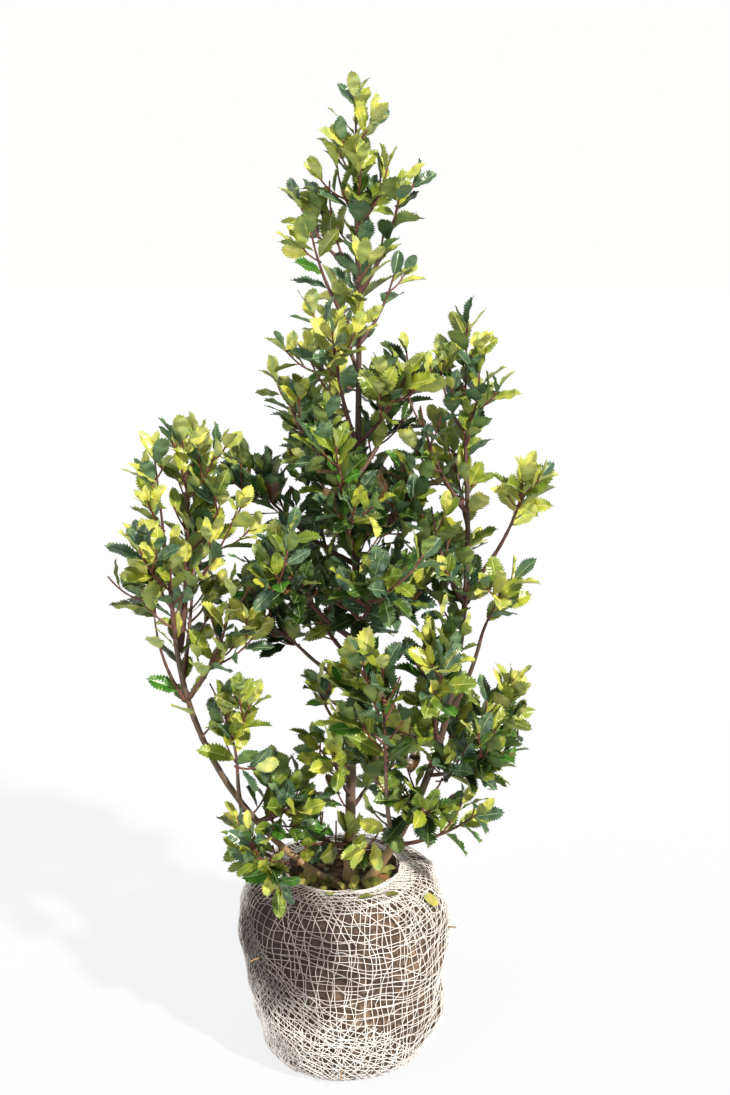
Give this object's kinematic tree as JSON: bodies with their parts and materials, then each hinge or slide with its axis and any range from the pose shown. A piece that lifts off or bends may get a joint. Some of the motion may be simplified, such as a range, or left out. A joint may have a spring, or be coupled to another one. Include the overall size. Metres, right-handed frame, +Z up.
{
  "type": "young holly shrub on a netted root ball",
  "caption": "Young upright holly shrub with spiny evergreen leaves on several stems, lifted for planting with its root ball wrapped in twine netting.",
  "frame": {"origin": "middle of the flat underside of the root ball, on the ground", "axes": "+Z up along the trunk, +X to the right and +Y to the back as seen from the front"},
  "size_m": [0.5258, 0.3384, 1.2017],
  "materials": {
    "soil": "matte",
    "twine": "matte",
    "bark": "satin",
    "foliage": "satin"
  },
  "bodies": {
    "root": {"centre_left_bough": "bark", "far_right_bough": "bark", "foliage_centre_back": "foliage", "foliage_centre_front": "foliage", "foliage_centre_front_left": "foliage", "foliage_centre_left": "foliage", "foliage_centre_left_top": "foliage", "foliage_centre_right": "foliage", "foliage_crown_back_left": "foliage", "foliage_crown_back_right": "foliage", "foliage_crown_front": "foliage", "foliage_crown_left": "foliage", "foliage_crown_right": "foliage", "foliage_far_right": "foliage", "foliage_far_right_high": "foliage", "foliage_front_spray": "foliage", "foliage_high_back": "foliage", "foliage_high_left": "foliage", "foliage_high_right": "foliage", "foliage_inner_left": "foliage", "foliage_left_back": "foliage", "foliage_left_inner": "foliage", "foliage_left_outer": "foliage", "foliage_left_shoulder": "foliage", "foliage_left_tall": "foliage", "foliage_left_top": "foliage", "foliage_low_back": "foliage", "foliage_low_centre": "foliage", "foliage_low_front": "foliage", "foliage_low_front_left": "foliage", "foliage_low_left": "foliage", "foliage_low_left_back": "foliage", "foliage_low_right": "foliage", "foliage_low_right_back": "foliage", "foliage_low_right_front": "foliage", "foliage_low_right_twig": "foliage", "foliage_lower_back_left": "foliage", "foliage_lower_back_right": "foliage", "foliage_over_the_ball": "foliage", "foliage_right_back": "foliage", "foliage_right_front": "foliage", "foliage_right_high_back": "foliage", "foliage_right_high_left": "foliage", "foliage_right_inner": "foliage", "foliage_right_shoulder": "foliage", "foliage_right_top": "foliage", "foliage_thin_left": "foliage", "foliage_top": "foliage", "foliage_upper_back": "foliage", "foliage_upper_front": "foliage", "foliage_upper_left": "foliage", "foliage_upper_right": "foliage", "front_bough": "bark", "inner_left_bough": "bark", "left_bough": "bark", "low_right_bough": "bark", "net_collar": "twine", "right_stem": "bark", "root_ball": "soil", "trunk": "bark"}
  },
  "joints": []
}
